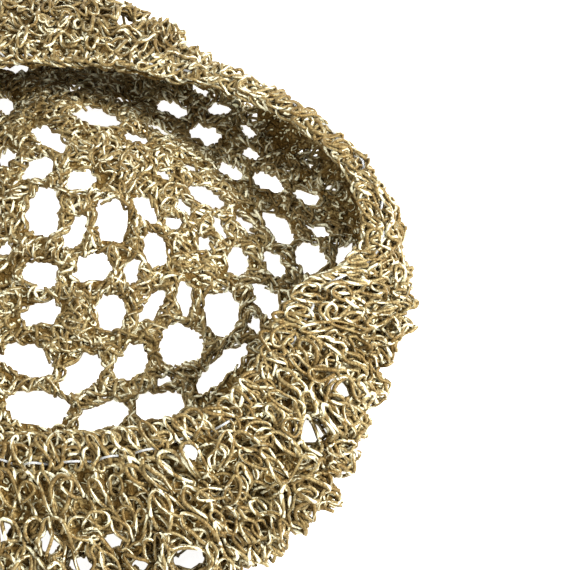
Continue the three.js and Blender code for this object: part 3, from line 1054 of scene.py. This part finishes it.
def spinning_nodes():
    """Geometry nodes that sweep a round section along lines of yarn and name its attributes."""
    group = bpy.data.node_groups.new("spin_yarn", "GeometryNodeTree")
    group.interface.new_socket("Geometry", in_out="INPUT", socket_type="NodeSocketGeometry")
    group.interface.new_socket("Thickness", in_out="INPUT", socket_type="NodeSocketFloat")
    group.interface.new_socket("Geometry", in_out="OUTPUT", socket_type="NodeSocketGeometry")

    def node(kind, settings=None, inputs=None):
        made = group.nodes.new(kind)
        for name, value in (settings or {}).items():
            setattr(made, name, value)
        for name, value in (inputs or {}).items():
            if isinstance(value, bpy.types.NodeSocket):
                group.links.new(value, made.inputs[name])
            else:
                made.inputs[name].default_value = value
        return made

    def named(geometry, name, value, kind="FLOAT"):
        inputs = {"Geometry": geometry, "Name": name, "Value": value}
        return node("GeometryNodeStoreNamedAttribute", {"data_type": kind}, inputs).outputs[0]

    def chosen(seed, low=0.0, high=1.0):
        """A random value for each strand."""
        strand = node("GeometryNodeCurveOfPoint").outputs["Curve Index"]
        return node("FunctionNodeRandomValue", {}, {2: low, 3: high, "ID": strand, "Seed": seed}).outputs[1]

    def maths(operation, first, second):
        return node("ShaderNodeMath", {"operation": operation}, {0: first, 1: second}).outputs[0]

    start = node("NodeGroupInput")
    length = node("GeometryNodeSplineParameter").outputs["Length"]
    tone = chosen(4)
    run = maths("ADD", length, chosen(9))
    full = maths("MULTIPLY", start.outputs["Thickness"], chosen(6, 0.82, 1.2))
    lines = named(start.outputs["Geometry"], "tone", tone)
    lines = named(lines, "run", run)
    ring = node("GeometryNodeCurvePrimitiveCircle", {}, {"Resolution": SIDES, "Radius": 1.0})
    place = node("GeometryNodeInputPosition").outputs[0]
    ring = named(ring.outputs[0], "section", place, kind="FLOAT_VECTOR")
    sweep = {"Curve": lines, "Profile Curve": ring, "Scale": full, "Fill Caps": True}
    tube = node("GeometryNodeCurveToMesh", {}, sweep)
    smooth = node("GeometryNodeSetShadeSmooth", {}, {"Geometry": tube.outputs[0]})
    end = node("NodeGroupOutput")
    group.links.new(smooth.outputs[0], end.inputs[0])
    return group


SPIN = spinning_nodes()


def as_mesh(thing):
    """The thing's shown shape as a mesh of its own."""
    graph = bpy.context.evaluated_depsgraph_get()
    mesh = bpy.data.meshes.new_from_object(thing.evaluated_get(graph))
    bpy.data.objects.remove(thing)
    return mesh


def piece(name, mesh, material, nodes):
    """A finished piece in place of the named nodes."""
    mesh.materials.clear()
    mesh.materials.append(material)
    made = bpy.data.objects.new(name, mesh)
    bpy.context.collection.objects.link(made)
    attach(made, "root")
    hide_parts(*nodes)
    print(name, "triangles", sum(len(face.vertices) - 2 for face in mesh.polygons))


def spun(name, strands, radius, material, nodes):
    """A piece of yarn from its strands."""
    lines = bpy.data.curves.new(name + "_lines", "CURVE")
    lines.dimensions = "3D"
    for points in cut_at_openings(strands):
        spline = lines.splines.new("POLY")
        spline.points.add(len(points) - 1)
        co = np.concatenate([points * METRES, np.ones((len(points), 1))], axis=1)
        spline.points.foreach_set("co", co.ravel())
    thing = bpy.data.objects.new(name + "_lines", lines)
    bpy.context.collection.objects.link(thing)
    modifier = thing.modifiers.new("spin", "NODES")
    modifier.node_group = SPIN
    thickness = SPIN.interface.items_tree["Thickness"].identifier
    modifier[thickness] = radius * METRES
    piece(name, as_mesh(thing), material, nodes)


NET_NODES = ["crown_net", "crown_centre"]
BODY_WALL = 0.6
NET_SQUARES = 124
NET_HALF = 130
NET_BODY_LIFT = 1.0
BAND_COLUMNS = 300


def thickened(made, places, gone, name):
    """The sheet in its place, without the points that are gone, as a mesh of its own with a wall."""
    for vert, place in zip(made.verts, places):
        vert.co = Vector(place * METRES)
    cut = [vert for vert, hidden in zip(made.verts, gone) if hidden]
    bmesh.ops.delete(made, geom=cut, context="VERTS")
    bmesh.ops.remove_doubles(made, verts=made.verts, dist=1e-5)
    bmesh.ops.recalc_face_normals(made, faces=made.faces)
    bmesh.ops.solidify(made, geom=made.faces, thickness=BODY_WALL * METRES)
    mesh = bpy.data.meshes.new(name)
    made.to_mesh(mesh)
    made.free()
    mesh.shade_smooth()
    return mesh


def net_body(holes):
    """The body of the net's cords: one sheet over the crown with every hole open."""
    made = bmesh.new()
    bmesh.ops.create_grid(made, x_segments=NET_SQUARES, y_segments=NET_SQUARES, size=NET_HALF)
    plan = np.array([vert.co[:2] for vert in made.verts])
    gone = crown_share(plan) > NET_END + 0.02
    for hole in holes:
        x, y, long, short, _ = hole
        gone |= border_share(*in_hole(plan, hole), long + YARN, short + YARN, x + y) < 0.75
    wider = [(x, y, long + 0.7, short + 0.7, heading) for x, y, long, short, heading in holes]
    places = crown(clear_net_holes(plan, wider), np.full(len(plan), NET_BODY_LIFT))
    piece("net_body", thickened(made, places, gone, "net_body"), SHADE_PAINTED_YARN, NET_NODES)


def ground(name, low, high, rows, holes, material, nodes):
    """The fabric's own body from one share of the band to another, with the openings left open."""
    made = bmesh.new()
    bmesh.ops.create_grid(made, x_segments=BAND_COLUMNS, y_segments=rows, size=0.5)
    flat = np.array([vert.co[:2] for vert in made.verts])
    angle = (flat[:, 0] + 0.5) * 360
    share = low + (high - low) * (flat[:, 1] + 0.5)
    gone = np.zeros(angle.shape, bool)
    for eyelet, speed in zip(EYELETS, EYELET_SPEEDS):
        u, v = in_eyelet(angle, share, eyelet, speed)
        gone |= np.hypot(u / (eyelet[2] + 0.3), v / (eyelet[3] + 0.3)) < 1
    zero = np.zeros(angle.shape)
    depth = np.minimum(mounds(angle, share), 0) * 0.4 - 0.3
    places = off_the_floor(on_band(angle, share, zero, zero, depth))
    for hole in holes:
        u, v = in_hole(places, hole)
        gone |= (np.hypot(u / (hole[2] + 0.6), v / (hole[3] + 0.6)) < 1) & (share < 0)
    piece(name, thickened(made, places, gone, name), material, nodes)


GOLD = gold_yarn()
# The darker yarn of the sheets under the laid strands, whose darkness is painted shade.
SHADE_PAINTED_YARN = shade_painted_yarn()
net_holes = all_net_holes()
ropes, cords, arcs, outer_arcs = net_yarn(net_holes)
spun("net_ropes", ropes, YARN, GOLD, NET_NODES)
spun("net_cords", cords, YARN, GOLD, NET_NODES)
spun("net_tufts", arcs, YARN, GOLD, NET_NODES)
spun("net_outer_tufts", outer_arcs, YARN, GOLD, NET_NODES)
net_body(net_holes)
under, fold, eyelets, top, lip = band_yarn(net_holes)
spun("under_fold_yarn", under, YARN, GOLD, ["outer_edge"])
spun("fold_yarn", fold, YARN, GOLD, ["outer_edge"])
spun("eyelet_yarn", eyelets, YARN, GOLD, ["outer_edge"])
spun("band_yarn", top, YARN, GOLD, ["band"])
spun("lip_yarn", lip, YARN, GOLD, ["rim"])
spun("elastic", [elastic_line()], ELASTIC, clear_elastic(), ["elastic_thread"])
ground("fold_body", -TURN_SHARE, 0.7, 26, net_holes, SHADE_PAINTED_YARN, ["outer_edge"])
ground("band_body", 0.7, 1.0, 8, net_holes, SHADE_PAINTED_YARN, ["band"])
ground("lip_body", 1.0, 1.0 + LIP_SHARE, 3, net_holes, SHADE_PAINTED_YARN, ["rim"])


# Floor, light and camera


WHITE = (1, 1, 1, 1)
PALE = (0.8, 0.8, 0.8, 1)


def floor():
    made = bmesh.new()
    bmesh.ops.create_grid(made, x_segments=1, y_segments=1, size=3)
    mesh = bpy.data.meshes.new("floor")
    made.to_mesh(mesh)
    made.free()
    thing = bpy.data.objects.new("floor", mesh)
    finish = Finish("pale_floor")
    finish.dress(Base_Color=PALE, Roughness=0.9, Emission_Color=WHITE, Emission_Strength=0.9)
    mesh.materials.append(finish.material)
    bpy.context.collection.objects.link(thing)


def lamp(name, place, size, power):
    """A square lamp that is aimed at the hat."""
    data = bpy.data.lights.new(name, "AREA")
    data.size = size
    data.energy = power
    thing = bpy.data.objects.new(name, data)
    thing.location = place
    thing.rotation_euler = (-Vector(place)).to_track_quat("-Z", "Y").to_euler()
    bpy.context.collection.objects.link(thing)


def camera(target, elevation, distance, lens):
    """A camera that looks along +Y and down at a target from a distance."""
    data = bpy.data.cameras.new("camera")
    data.lens = lens
    data.sensor_width = 36
    data.clip_start = 0.01
    thing = bpy.data.objects.new("camera", data)
    rise = math.radians(elevation)
    back = Vector((0, -math.cos(rise), math.sin(rise))) * distance
    thing.location = Vector(target) + back
    thing.rotation_euler = (-back).to_track_quat("-Z", "Y").to_euler()
    bpy.context.collection.objects.link(thing)
    bpy.context.scene.camera = thing


def daylight(strength):
    world = bpy.data.worlds.new("daylight")
    world.use_nodes = True
    world.node_tree.nodes["Background"].inputs["Color"].default_value = WHITE
    world.node_tree.nodes["Background"].inputs["Strength"].default_value = strength
    bpy.context.scene.world = world


floor()
daylight(0.98)
lamp("key", (-0.5, 0.25, 0.9), size=0.3, power=4)
lamp("fill", (0.85, -0.1, 0.6), size=0.3, power=18)
lamp("back", (0.3, 0.9, 0.5), size=0.3, power=2)
lamp("front", (-0.1, -0.9, 0.5), size=0.4, power=2.5)
camera((0.080, 0, 0.010), elevation=60, distance=0.480, lens=91.9)
